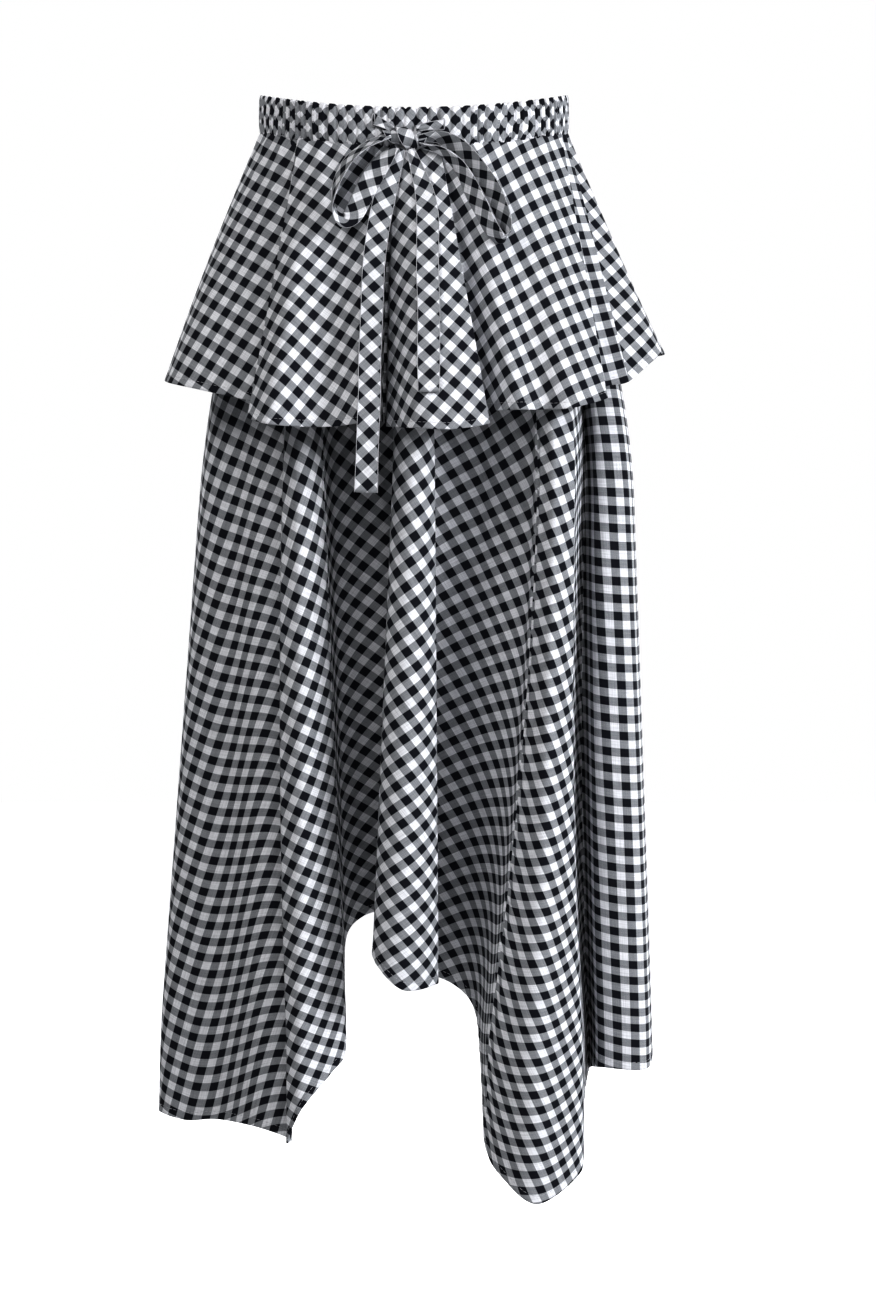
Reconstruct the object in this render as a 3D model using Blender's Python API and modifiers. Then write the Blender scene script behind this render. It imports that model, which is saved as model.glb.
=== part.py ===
"""Handkerchief skirt: gathered waistband, short flared overskirt, long skirt with a pointed
hem, and a strap tied in a bow at the front.

Worn and hollow, held at the waist.  The origin is the middle of the waistband, +Z is up and
the front faces -Y.  Every cloth piece is an open loft between unlike rings, thickened with
Solidify.  Lengths below are millimetres.
"""
import math

import bpy
import numpy as np

MM = 0.001

# ---- driving sizes -------------------------------------------------------------------
WAIST_X, WAIST_Y = 141.0, 96.0        # half width and half depth of the waist
BAND_HALF = 17.5                      # half height of the waistband
BAND_WALL = 3.0                       # two layers and the elastic between them
CLOTH = 1.2                           # wall of the skirt and of the overskirt
STRAP_WALL = 1.4                      # two layers of the tie strap
GAP = 0.4                             # air at every seam
HIP_Z, LOW_Z = -280.0, -830.0         # the two levels the long folds are set out at
HIP_SOFT = 70.0                       # the fall lines bend over this much at the hip
STEPS, BACK_STEPS = 3, 2              # columns between two neighbouring fold lines
UPPER_ROWS, LOWER_ROWS = 4, 6         # skirt rows above and below the hip
PEPLUM_ROWS = 5

# ---- fold lines of the long skirt ------------------------------------------------------
# name, angle at the waist (0 front, -90 wearer's right), x and y at the hip level,
# x and y at the low level, sideways bow between them, roundness (1 soft, 0 creased),
# height of the hem
SKIRT_FOLDS = (
    ("side_left", -90, -194, 8, -233, 6, 0, 1.0, -903),
    ("flute_out", -76, -188, -36, -229, -22, 0, 0.9, -907),
    ("flute_top", -66, -172, -54, -206, -34, 0, 0.9, -912),
    ("flute_in", -59, -158, -60, -178, -42, 0, 1.0, -910),
    ("face_1", -53, -140, -72, -140, -78, -2, 1.0, -912),
    ("crease_1", -46, -117, -78, -110, -84, -5, 0.5, -922),
    ("edge_1", -44, -115, -98, -113, -104, -5, 0.5, -922),
    ("ridge_1a", -38, -105, -110, -99, -117, 2, 1.0, -890),
    ("ridge_1b", -34, -92, -104, -72, -101, 0, 0.8, -858),
    ("ridge_1c", -32, -83, -89, -61, -84, 0, 0.7, -840),
    ("valley_1a", -28, -72, -68, -61, -42, 0, 0.8, -748),
    ("valley_1b", -20, -42, -54, -48, -20, 0, 0.8, -726),
    ("valley_1c", -11, -4, -60, -27, -30, 0, 0.9, -722),
    ("centre_a", -8, -16, -122, -39, -127, 0, 0.7, -752),
    ("centre", 0, 1, -138, -11, -147, 0, 1.0, -781),
    ("centre_b", 5, 18, -125, 22, -120, 0, 0.7, -778),
    ("valley_2", 9, 12, -80, 12, -28, 0, 0.9, -778),
    ("slope_2a", 20, 53, -82, 35, -27, 2, 1.0, -788),
    ("slope_2b", 29, 84, -101, 52, -50, 8, 1.0, -806),
    ("slope_2c", 36, 105, -107, 60, -88, 10, 0.8, -840),
    ("ridge_2a", 39, 112, -117, 67, -114, 9, 0.6, -925),
    ("ridge_2s", 42, 119, -122, 83, -133, 6, 0.9, -950),
    ("ridge_2b", 46, 128, -127, 112, -144, 2, 1.0, -970),
    ("ridge_2c", 52, 144, -116, 150, -112, -5, 0.5, -945),
    ("ridge_2d", 58, 153, -88, 154, -68, -12, 0.6, -892),
    ("slit", 62, 159, -40, 161, -14, -6, 0.8, -868),
    ("panel_a", 66, 168, -66, 169, -60, -3, 0.6, -860),
    ("panel_b", 78, 193, -58, 210, -60, 0, 0.9, -862),
    ("side_right", 90, 201, -4, 220, 0, 0, 1.0, -848),
    ("back_1", 104, 194, 50, 214, 62, 0, 1.0, -840),
    ("back_2", 116, 160, 78, 160, 66, 0, 1.0, -870),
    ("back_3", 128, 142, 116, 148, 138, 0, 1.0, -920),
    ("back_4", 142, 96, 104, 98, 78, 0, 1.0, -865),
    ("back_5", 156, 60, 144, 62, 158, 0, 1.0, -770),
    ("back_6", 172, 18, 118, 14, 92, 0, 1.0, -705),
    ("back_7", 190, -30, 148, -34, 162, 0, 1.0, -690),
    ("back_8", 208, -80, 112, -82, 84, 0, 1.0, -740),
    ("back_9", 224, -122, 126, -134, 144, 0, 1.0, -850),
    ("back_10", 240, -150, 84, -158, 66, 0, 1.0, -880),
    ("back_11", 256, -186, 66, -218, 72, 0, 1.0, -885),
)

# ---- fold lines of the overskirt -------------------------------------------------------
# name, angle at the waist, x, y and z at its hem, sideways bow, roundness
PEPLUM_FOLDS = (
    ("side_left", -90, -228, 2, -231, -3, 1.0),
    ("left_a", -76, -221, -68, -240, -2, 0.9),
    ("left_b", -62, -184, -94, -250, 0, 1.0),
    ("tuck_1a", -48, -139, -106, -262, 0, 0.9),
    ("tuck_1b", -46, -146, -128, -276, 0, 0.5),
    ("broad_a", -39, -124, -153, -284, 0, 0.9),
    ("broad_m", -29, -79, -139, -285, 0, 1.0),
    ("broad_b", -17, -46, -158, -283, 0, 0.9),
    ("tuck_2a", -11, -33, -146, -281, 0, 0.8),
    ("tuck_2b", -8.4, -26, -119, -279, 0, 0.7),
    ("centre_a", -6.6, -22, -130, -284, 0, 0.6),
    ("centre_b", -2, 3, -168, -288, 0, 0.9),
    ("centre_c", 4.4, 36, -170, -289, 0, 1.0),
    ("tuck_3a", 9.4, 67, -155, -283, 0, 0.5),
    ("tuck_3b", 11, 64, -114, -270, 0, 0.8),
    ("right_a", 20, 92, -142, -270, 0, 1.0),
    ("right_m", 32, 115, -131, -269, 0, 1.0),
    ("right_b", 50, 141, -139, -268, 0, 1.0),
    ("tuck_4a", 71, 172, -117, -258, 0, 0.5),
    ("tuck_4b", 74, 173, -88, -245, 0, 0.8),
    ("strip", 81, 194, -80, -240, 0, 0.6),
    ("flap", 87, 224, -52, -213, 0, 0.7),
    ("side_right", 96, 231, 6, -208, -3, 1.0),
    ("back_1", 112, 215, 70, -206, 0, 1.0),
    ("back_2", 124, 176, 90, -210, 0, 1.0),
    ("back_3", 136, 146, 138, -216, 0, 1.0),
    ("back_4", 148, 104, 130, -222, 0, 1.0),
    ("back_5", 162, 64, 172, -226, 0, 1.0),
    ("back_6", 174, 18, 146, -229, 0, 1.0),
    ("back_7", 190, -32, 178, -230, 0, 1.0),
    ("back_8", 206, -84, 140, -228, 0, 1.0),
    ("back_9", 222, -130, 160, -226, 0, 1.0),
    ("back_10", 238, -172, 102, -226, 0, 1.0),
    ("back_11", 254, -214, 66, -228, 0, 1.0),
)

# ---- the bow ---------------------------------------------------------------------------
# x, z, lean of the strap (degrees its near edge turns to the left of its course),
# half width
LOOP_LEFT = (
    (-20, -22, 30, 3.5), (-36, -28, 28, 7.5), (-50, -37, 27, 10), (-61, -49, 27, 10),
    (-68, -64, 24, 10), (-71, -78, 10, 10), (-69, -91, -15, 10), (-61, -99, -45, 10),
    (-53, -93, -65, 10), (-46, -79, -72, 10), (-40, -66, -72, 10), (-33, -54, -70, 10),
    (-25, -43, -60, 8.5), (-15.5, -32, -50, 4.5),
)
LOOP_RIGHT = (
    (5.0, -24, 35, 3.5), (23, -23, 42, 7.0), (38, -31, 48, 10), (51, -43, 48, 10),
    (62, -57, 48, 10), (71, -71, 48, 10), (77, -85, 46, 10), (82, -99, 36, 10),
    (84, -110, 12, 10), (79, -116, -18, 10), (70, -107, -36, 10), (63, -93, -42, 10),
    (57, -81, -42, 10), (51, -69, -42, 10), (45, -56, -40, 9), (36, -44, -36, 7.5),
    (23, -35, -30, 6.0), (5.0, -29.5, -24, 3.5),
)
# x, z, half width
TAIL_LEFT = (
    (-11.5, -33.0, 4.5), (-19, -56, 8.0), (-27, -85, 10), (-32, -114, 10), (-35, -143, 10),
    (-36, -172, 10), (-37, -200, 10), (-38, -228, 10), (-38, -256, 10), (-39, -284, 10),
    (-40, -314, 10), (-41, -344, 10.5),
)
TAIL_RIGHT = (
    (-2.6, -33.5, 3.8), (3.5, -52, 6.0), (10, -73, 8.5), (13, -96, 10), (13, -122, 10),
    (13, -150, 10), (14, -178, 10), (14, -206, 10), (14, -232, 10), (14, -256, 9.5),
)
LEAD_LEFT = ((-34, -7, 4.5), (-26, -11, 3.5), (-18, -15.5, 2.5))
LEAD_RIGHT = ((27, -11, 4.5), (15, -12.5, 3.5), (2.5, -15, 2.5))
KNOT_AT = (-7.0, -24.0)
KNOT_SIZE = (12.0, 6.5, 9.5)          # half sizes


# ---- forms -----------------------------------------------------------------------------
def seam_z(angle):
    """Lower edge of the waistband: dips at the front, rises at the sides and back."""
    c = np.cos(np.radians(angle))
    return 8.0 - 15.0 * c - 6.0 * (2 * c * c - 1) - BAND_HALF


def ring(values, rounds, s):
    """Closed cubic through the rows of a table, its slopes scaled by the roundness.

    The first column is an angle that gains a full turn on the way round.
    """
    n = len(values)
    i = np.floor(s).astype(int) % n
    f = (s - np.floor(s))[:, None]
    after, before = np.roll(values, -1, 0), np.roll(values, 1, 0)
    after[-1, 0] += 360
    before[0, 0] -= 360
    slope = 0.5 * (after - before) * rounds[:, None]
    a, b, u, v = values[i], after[i], slope[i], slope[(i + 1) % n]
    return ((2 * f**3 - 3 * f**2 + 1) * a + (f**3 - 2 * f**2 + f) * u
            + (3 * f**2 - 2 * f**3) * b + (f**3 - f**2) * v)


def ramp(x, w):
    """0 below -w, x above w, a parabola between."""
    return np.where(x < -w, 0.0, np.where(x > w, x, (x + w) ** 2 / (4 * w)))


def waist_point(angle, grow):
    a = np.radians(angle)
    return np.column_stack([(WAIST_X + grow) * np.sin(a), -(WAIST_Y + grow) * np.cos(a)])


def skirt_points(s, z_of):
    """Points of the long skirt at fold positions s; z_of(top, hem) gives their heights."""
    t = np.array([row[1:] for row in SKIRT_FOLDS], float)
    angle, hx, hy, lx, ly, bow, hem = ring(t[:, [0, 1, 2, 3, 4, 5, 7]], t[:, 6], s).T
    tx, ty = waist_point(angle, -1.1).T
    top = seam_z(angle) - GAP
    z = z_of(top, hem)
    below = ramp(HIP_Z - z, HIP_SOFT)
    g1 = (top - z - below) / (top - HIP_Z)
    g2 = below / (HIP_Z - LOW_Z)
    g2 = g2 - 0.7 * ramp(g2 - 1.0, 0.05)
    c = np.clip(g2, 0, 1)
    x = tx + (hx - tx) * g1 + (lx - hx) * g2 + bow * 4 * c * (1 - c)
    y = ty + (hy - ty) * g1 + (ly - hy) * g2
    return np.column_stack([x, y, z])


def peplum_points(s, t):
    """Points of the overskirt at fold positions s, a share t of the way to its hem."""
    p = np.array([row[1:] for row in PEPLUM_FOLDS], float)
    angle, hx, hy, hz, bow = ring(p[:, 0:5], p[:, 5], s).T
    tx, ty = waist_point(angle, 0.5).T
    top = seam_z(angle) - GAP - 0.2       # the outer edge of a flared wall stands higher
    return np.column_stack([tx + (hx - tx) * t + bow * 4 * t * (1 - t),
                            ty + (hy - ty) * t, top + (hz - top) * t])


def front_y(x, z, half):
    """Nearest the viewer that the overskirt or the band comes within half of x, at z."""
    last = [row[0] for row in PEPLUM_FOLDS].index("strip")
    s = np.linspace(1, last, 321)
    net = np.stack([peplum_points(s, t) for t in np.linspace(0, 1, 41)])
    near = 1e9
    for dx in np.linspace(-half, half, 5):
        d = (net[:, :, 0] - x - dx) ** 2 + (net[:, :, 2] - z) ** 2
        near = min(near, net[:, :, 1].reshape(-1)[np.argmin(d)])
    if z > seam_z(0.0) - 6:
        near = min(near, -(WAIST_Y + BAND_WALL / 2) * math.sqrt(1 - (x / WAIST_X) ** 2) - 0.6)
    return near


# ---- building --------------------------------------------------------------------------
def clear():
    for ob in list(bpy.data.objects):
        bpy.data.objects.remove(ob, do_unlink=True)


def material(name, colour):
    m = bpy.data.materials.new(name)
    m.use_nodes = True
    b = m.node_tree.nodes["Principled BSDF"]
    b.inputs["Base Color"].default_value = (*colour, 1)
    b.inputs["Roughness"].default_value = 0.85
    return m


def cloth(name, net, wall, colour, closed=False):
    """A net of points (rows from the top, columns around) thickened about its middle."""
    rows, cols = net.shape[:2]
    wrap = cols if closed else cols - 1
    faces = [(r * cols + c, r * cols + (c + 1) % cols, (r + 1) * cols + (c + 1) % cols,
              (r + 1) * cols + c) for r in range(rows - 1) for c in range(wrap)]
    mesh = bpy.data.meshes.new(name)
    mesh.from_pydata((net.reshape(-1, 3) * MM).tolist(), [], [f[::-1] for f in faces])
    ob = bpy.data.objects.new(name, mesh)
    PART.objects.link(ob)
    mod = ob.modifiers.new("wall", "SOLIDIFY")
    mod.thickness = wall * MM
    mod.offset = 0.0
    mod.use_even_offset = False
    mesh.materials.append(material(name, colour))
    return ob


def trim_ends(net, gap):
    """Draw the first and last columns in by a seam gap along the cloth."""
    for end, nxt in ((0, 1), (-1, -2)):
        d = net[:, nxt] - net[:, end]
        net[:, end] += d / np.linalg.norm(d, axis=1)[:, None] * gap
    return net


def index(folds, name):
    return [row[0] for row in folds].index(name)


def skirt_panel(name, first, last, steps, colour):
    s = np.linspace(first, last, (last - first) * steps + 1)
    rows = []
    for k in range(UPPER_ROWS):
        rows.append(skirt_points(s, lambda top, hem: top + (HIP_Z - top) * k / UPPER_ROWS))
    for k in range(LOWER_ROWS + 1):
        rows.append(skirt_points(s, lambda top, hem: HIP_Z + (hem - HIP_Z) * k / LOWER_ROWS))
    return cloth(name, trim_ends(np.stack(rows), 0.25), CLOTH, colour)


def peplum_panel(name, first, last, steps, colour):
    s = np.linspace(first, last, (last - first) * steps + 1)
    net = np.stack([peplum_points(s, t) for t in np.linspace(0, 1, PEPLUM_ROWS + 1)])
    return cloth(name, trim_ends(net, 0.25), CLOTH, colour)


def waistband(colour):
    """A casing ring whose wall swells a little between its two edges."""
    angle = np.linspace(0, 360, 64, endpoint=False)
    rows = []
    for f in (0.0, 0.5, 1.0):
        p = waist_point(angle, 0.8 * math.sin(math.pi * f))
        rows.append(np.column_stack([p, seam_z(angle) + 2 * BAND_HALF * (1 - f)]))
    return cloth("waistband", np.stack(rows), BAND_WALL, colour, closed=True)


def strap(name, centre, across, colour):
    """A ribbon: its middle line and the vector from the middle to its left edge."""
    net = np.stack([centre + across * k for k in (-1, -0.33, 0.33, 1)], axis=1)
    return cloth(name, net, STRAP_WALL, colour)


def smooth_path(points, per):
    """Open cubic through the rows of a short table."""
    p = np.array(points, float)
    p = np.vstack([2 * p[0] - p[1], p, 2 * p[-1] - p[-2]])
    out = []
    for i in range(1, len(p) - 2):
        for f in np.arange(per) / per:
            out.append(0.5 * (2 * p[i] + (p[i + 1] - p[i - 1]) * f
                              + (2 * p[i - 1] - 5 * p[i] + 4 * p[i + 1] - p[i + 2]) * f * f
                              + (3 * p[i] - p[i - 1] - 3 * p[i + 1] + p[i + 2]) * f**3))
    return np.array(out + [p[-2]])


def loop(name, table, colour, lift):
    """A bow loop standing off the overskirt on the edge of its strap."""
    p = smooth_path(table, 2)
    x, z, lean, half = p[:, 0], p[:, 1], np.radians(p[:, 2]), p[:, 3]
    d = np.column_stack([np.gradient(x), np.gradient(z)])
    d /= np.linalg.norm(d, axis=1)[:, None]
    across = np.column_stack([-d[:, 1] * np.sin(lean), -np.cos(lean), d[:, 0] * np.sin(lean)])
    back = np.column_stack([x, z]) - across[:, [0, 2]] * half[:, None]
    y = np.array([min(front_y(*q, 7), front_y(*e, 3)) for q, e in zip(zip(x, z), back)])
    y -= half * np.cos(lean) + lift
    y = np.convolve(np.pad(y, 1, mode="edge"), (0.25, 0.5, 0.25), "valid")
    return strap(name, np.column_stack([x, y, z]), across * half[:, None], colour)


def tail(name, table, colour, lift, hang=None):
    """A strap end lying down the overskirt; below the height hang it falls free."""
    p = smooth_path(table, 2)
    x, z, half = p.T
    y = np.array([front_y(*q, 11) for q in zip(x, z)]) - lift
    if hang is not None:
        free = z < hang
        y[free] = y[~free][-1]
    y = np.convolve(np.pad(y, 1, mode="edge"), (0.25, 0.5, 0.25), "valid")
    d = np.column_stack([np.gradient(x), np.gradient(z)])
    d /= np.linalg.norm(d, axis=1)[:, None]
    across = np.column_stack([-d[:, 1], 0 * x, d[:, 0]]) * half[:, None]
    return strap(name, np.column_stack([x, y, z]), across, colour)


def knot(colour):
    """A rounded wrap, wider to the right, flattened against the band."""
    y = front_y(*KNOT_AT, 10) - KNOT_SIZE[1] - 0.1
    bpy.ops.mesh.primitive_uv_sphere_add(segments=14, ring_count=8, radius=1.0)
    ob = bpy.context.object
    for col in list(ob.users_collection):
        col.objects.unlink(ob)
    PART.objects.link(ob)
    ob.name = ob.data.name = "tie_knot"
    for v in ob.data.vertices:
        x, d, h = v.co
        pinch = 1.0 - 0.22 * x
        v.co = ((KNOT_AT[0] + KNOT_SIZE[0] * x) * MM, (y + KNOT_SIZE[1] * d * pinch) * MM,
                (KNOT_AT[1] - 1.5 * x + KNOT_SIZE[2] * h * pinch) * MM)
    ob.data.materials.append(material("tie_knot", colour))
    return ob


clear()
PART = bpy.data.collections.new("handkerchief_skirt")
bpy.context.scene.collection.children.link(PART)

CLOTH_GREY, BAND_GREY, TIE_GREY = (0.36, 0.36, 0.39), (0.42, 0.42, 0.45), (0.5, 0.5, 0.53)
side = index(SKIRT_FOLDS, "side_right")
seam = index(PEPLUM_FOLDS, "strip")
waistband(BAND_GREY)
skirt_panel("skirt_front", 0, side, STEPS, CLOTH_GREY)
skirt_panel("skirt_back", side, len(SKIRT_FOLDS), BACK_STEPS, CLOTH_GREY)
peplum_panel("peplum_front", 0, seam, STEPS, CLOTH_GREY)
peplum_panel("peplum_back", seam, len(PEPLUM_FOLDS), BACK_STEPS, CLOTH_GREY)
loop("tie_loop_left", LOOP_LEFT, TIE_GREY, 2.7)
loop("tie_loop_right", LOOP_RIGHT, TIE_GREY, 1.2)
tail("tie_tail_left", TAIL_LEFT, TIE_GREY, 2.6, hang=-290)
tail("tie_tail_right", TAIL_RIGHT, TIE_GREY, 2.6)
tail("tie_lead_left", LEAD_LEFT, TIE_GREY, 1.6)
tail("tie_lead_right", LEAD_RIGHT, TIE_GREY, 1.6)
knot(TIE_GREY)
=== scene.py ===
"""Looks of the handkerchief skirt: fine gingham cloth on the form of its solids.

Lengths in the tables are millimetres and become metres when a mesh is made.  +Z is up and
the front faces -Y.  A net is an array of points, rows from the top and columns around.
"""
import math

import bmesh
import bpy
import numpy as np
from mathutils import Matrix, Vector


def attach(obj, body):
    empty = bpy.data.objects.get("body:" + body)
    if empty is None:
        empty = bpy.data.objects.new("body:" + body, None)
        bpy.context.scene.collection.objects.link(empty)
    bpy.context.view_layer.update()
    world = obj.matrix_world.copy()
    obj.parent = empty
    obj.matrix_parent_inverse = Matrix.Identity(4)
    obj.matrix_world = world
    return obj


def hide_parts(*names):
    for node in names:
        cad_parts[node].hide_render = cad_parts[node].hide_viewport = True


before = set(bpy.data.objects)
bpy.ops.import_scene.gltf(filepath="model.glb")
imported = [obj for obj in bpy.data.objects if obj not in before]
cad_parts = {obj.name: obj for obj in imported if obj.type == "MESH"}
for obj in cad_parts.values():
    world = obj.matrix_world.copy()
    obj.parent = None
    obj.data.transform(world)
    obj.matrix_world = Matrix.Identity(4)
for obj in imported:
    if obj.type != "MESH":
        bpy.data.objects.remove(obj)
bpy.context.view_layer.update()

MM = 0.001

# ---- driving sizes, as in the solids ---------------------------------------------------
WAIST_X, WAIST_Y = 141.0, 96.0        # half width and half depth of the waist
BAND_HALF = 17.5                      # half height of the waistband
BAND_WALL = 3.0                       # two layers and the elastic between them
SEWN_IN = 1.5                         # the cloth runs this far up into the band
SKIRT_OUT, PEPLUM_OUT = -1.1, 0.5     # where they hang, outwards from the waist's ellipse
HIP_Z, LOW_Z = -280.0, -830.0         # the two levels the long folds are set out at
HIP_SOFT = 70.0                       # the fall lines bend over this much at the hip
HELD_BACK = 0.7                       # share of their spread they lose below the low level
PEPLUM_LONG = 250.0                   # the overskirt's length, roughly

# ---- cloth -----------------------------------------------------------------------------
REPEAT = 16.0                         # one dark and one light stripe of the gingham
THREAD = 0.7                          # pitch of the weave
CLOTH = 0.5                           # thickness of one layer
SLUB_WIDE, SLUB_LONG = 1.3 * THREAD, 22.0   # size of the unevenness in a thread
SLACK_HIP, SLACK_LOW = 0.96, 1.13     # flat cloth in a length down the skirt, at two levels
STRAP = 1.1                           # thickness of the folded strap
HALF_STRAP = 10.0                     # half width of the strap where it lies flat
TUCKED = 0.3                          # share of a drawn strap's spare width that shows
HEM = 7.0                             # depth of the turned hems
HEM_RISE = 0.30                       # it stands out this much, its stitches sink as much
HEM_ZONE = 14.0                       # close rows of the net above a hem
STITCH_UP = 6.4                       # the stitches run this far above a hem's edge
STITCH_LONG, STITCH_PITCH, STITCH_THICK = 3.2, 4.4, 0.42
BUTTONHOLE_OUT = 2.4                  # how far it stands out from the waist's ellipse
PLEAT = 9.3                           # width of a pleat of the band at its front
SIDE_PLEAT = 4.2                      # how much narrower one is at the sides

# ---- rows and columns of the nets ------------------------------------------------------
UPPER_ROWS, LOWER_ROWS = 26, 104      # long skirt, seam to hip and hip to hem
PEPLUM_ROWS = 62
HEM_ROWS = 11                         # more rows close together over each hem
SKIRT_MEETS, PEPLUM_MEETS = 78, 36    # the row where neighbouring stretches' checks meet
# columns to each fold line, front and back
SKIRT_COLS, PEPLUM_COLS = (12, 20), (14, 16)

SKIRT_FOLDS = (
    ("side_left", -90, -194, 8, -233, 6, 0, 1.0, -903, 21, 24, 22, 14),
    ("flute_out", -76, -188, -36, -229, -22, 0, 0.9, -907, 21, 30, 22, 13),
    ("flute_top", -66, -172, -54, -206, -34, 0, 0.9, -912, 21, 18, 23, 16),
    ("flute_in", -59, -158, -60, -178, -42, 0, 1.0, -910, 19, -14, 21, 14),
    ("face_1", -53, -140, -72, -140, -78, -2, 1.0, -912, 27, -24, 20, 16),
    ("crease_1", -46, -117, -78, -110, -84, -5, 0.5, -922, 32, 14, 18, 24),
    ("edge_1", -44, -115, -98, -113, -104, -5, 0.5, -922, 36, 44, 20, 27),
    ("ridge_1a", -38, -105, -110, -99, -117, 2, 1.0, -890, 29, 26, 22, 26),
    ("ridge_1b", -34, -92, -104, -72, -101, 0, 0.8, -858, 29, 10, 25, 22),
    ("ridge_1c", -32, -83, -89, -61, -84, 0, 0.7, -840, 30, 16, 29, 28),
    ("valley_1a", -28, -72, -68, -61, -42, 0, 0.8, -748, 32, 18, 36, 32),
    ("valley_1b", -20, -42, -54, -48, -20, 0, 0.8, -726, 37, 26, 41, 36),
    ("valley_1c", -11, -4, -60, -27, -30, 0, 0.9, -722, 42, 36, 44, 42),
    ("centre_a", -8, -16, -122, -39, -127, 0, 0.7, -752, 52, 52, 50, 53),
    ("centre", 0, 1, -138, -11, -147, 0, 1.0, -781, 56, 50, 53, 55),
    ("centre_b", 5, 18, -125, 22, -120, 0, 0.7, -778, 44, 44, 44, 28),
    ("valley_2", 9, 12, -80, 12, -28, 0, 0.9, -778, 53, 51, 51, 54),
    ("slope_2a", 20, 53, -82, 35, -27, 2, 1.0, -788, 57, 56, 64, 63),
    ("slope_2b", 29, 84, -101, 52, -50, 8, 1.0, -806, 56, 73, 59, 97),
    ("slope_2c", 36, 105, -107, 60, -88, 10, 0.8, -840, 58, 77, 61, 114),
    ("ridge_2a", 39, 112, -117, 67, -114, 9, 0.6, -925, 60, 77, 66, 114),
    ("ridge_2s", 42, 119, -122, 83, -133, 6, 0.9, -950, 61, 77, 67, 98),
    ("ridge_2b", 46, 128, -127, 112, -144, 2, 1.0, -970, 63, 66, 68, 79),
    ("ridge_2c", 52, 144, -116, 150, -112, -5, 0.5, -945, 65, 68, 66, 40),
    ("ridge_2d", 58, 153, -88, 154, -68, -12, 0.6, -892, 74, 76, 66, 20),
    ("slit", 62, 159, -40, 161, -14, -6, 0.8, -868, 84, 86, 88, 96),
    ("panel_a", 66, 168, -66, 169, -60, -3, 0.6, -860, 86, 90, 94, 115),
    ("panel_b", 78, 193, -58, 210, -60, 0, 0.9, -862, 88, 90, 90, 90),
    ("side_right", 90, 201, -4, 220, 0, 0, 1.0, -848, 90, 88, 86, 70),
    ("back_1", 104, 194, 50, 214, 62, 0, 1.0, -840, 94, 94, 94, 88),
    ("back_2", 116, 160, 78, 160, 66, 0, 1.0, -870, 100, 100, 100, 100),
    ("back_3", 128, 142, 116, 148, 138, 0, 1.0, -920, 106, 106, 106, 106),
    ("back_4", 142, 96, 104, 98, 78, 0, 1.0, -865, 112, 112, 112, 112),
    ("back_5", 156, 60, 144, 62, 158, 0, 1.0, -770, 119, 119, 119, 119),
    ("back_6", 172, 18, 118, 14, 92, 0, 1.0, -705, 126, 126, 126, 126),
    ("back_7", 190, -30, 148, -34, 162, 0, 1.0, -690, 133, 133, 133, 133),
    ("back_8", 208, -80, 112, -82, 84, 0, 1.0, -740, 140, 140, 140, 140),
    ("back_9", 224, -122, 126, -134, 144, 0, 1.0, -850, 147, 147, 147, 147),
    ("back_10", 240, -150, 84, -158, 66, 0, 1.0, -880, 153, 153, 153, 153),
    ("back_11", 256, -186, 66, -218, 72, 0, 1.0, -885, 159, 159, 159, 159),
)
# first and last fold line of each stretch of cloth between two tucks, the fold line that
# its checks are set square to, and how far its cloth is turned against the table
SKIRT_STRETCHES = (
    ("side_left", "crease_1", "flute_in", 0),
    ("crease_1", "ridge_1c", "ridge_1a", 0),
    ("ridge_1c", "centre_a", "valley_1b", 0),
    ("centre_a", "valley_2", "centre", 0),
    ("valley_2", "ridge_2a", "slope_2a", 0),
    ("ridge_2a", "slit", "ridge_2b", 0),
    ("slit", "side_right", "panel_b", 0),
    ("side_right", "back_6", "back_3", 0),
    ("back_6", "side_left", "back_9", 0),
)

# fine creases: the fold line each follows, how far beside it (shares of the way to the
# next one), half width (the same shares), height, upper and lower end
SKIRT_CREASES = (
    ("crease_1", -0.3, 0.30, -1.0, -330, -700),
    ("edge_1", 0.15, 0.10, 0.7, -280, -910),
    ("ridge_1c", -0.30, 0.13, 0.9, -280, -790),
    ("ridge_1c", 0.05, 0.12, 0.8, -290, -760),
    ("valley_1b", 0.4, 0.20, 1.0, -300, -520),
    ("centre_b", 0.0, 0.10, 1.0, -270, -775),
    ("slope_2b", -0.4, 0.22, 1.2, -270, -420),
    ("ridge_2a", -0.42, 0.12, 0.9, -270, -560),
    ("ridge_2a", -0.16, 0.12, 1.3, -270, -910),
    ("ridge_2a", 0.20, 0.16, -1.2, -280, -930),
    ("ridge_2a", 0.52, 0.14, 1.1, -300, -860),
    ("ridge_2a", 0.86, 0.14, -0.8, -420, -820),
    ("ridge_2c", 0.0, 0.14, 1.2, -270, -500),
    ("panel_a", 0.3, 0.14, 0.8, -270, -700),
    ("back_3", 0.1, 0.07, 1.0, -280, -800),
    ("back_5", -0.2, 0.08, 1.1, -260, -700),
    ("back_5", 0.15, 0.06, 0.8, -300, -620),
    ("back_7", 0.2, 0.08, 1.0, -270, -640),
    ("back_9", -0.15, 0.07, 1.1, -280, -780),
    ("back_9", 0.10, 0.06, -0.9, -320, -700),
)

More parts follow.
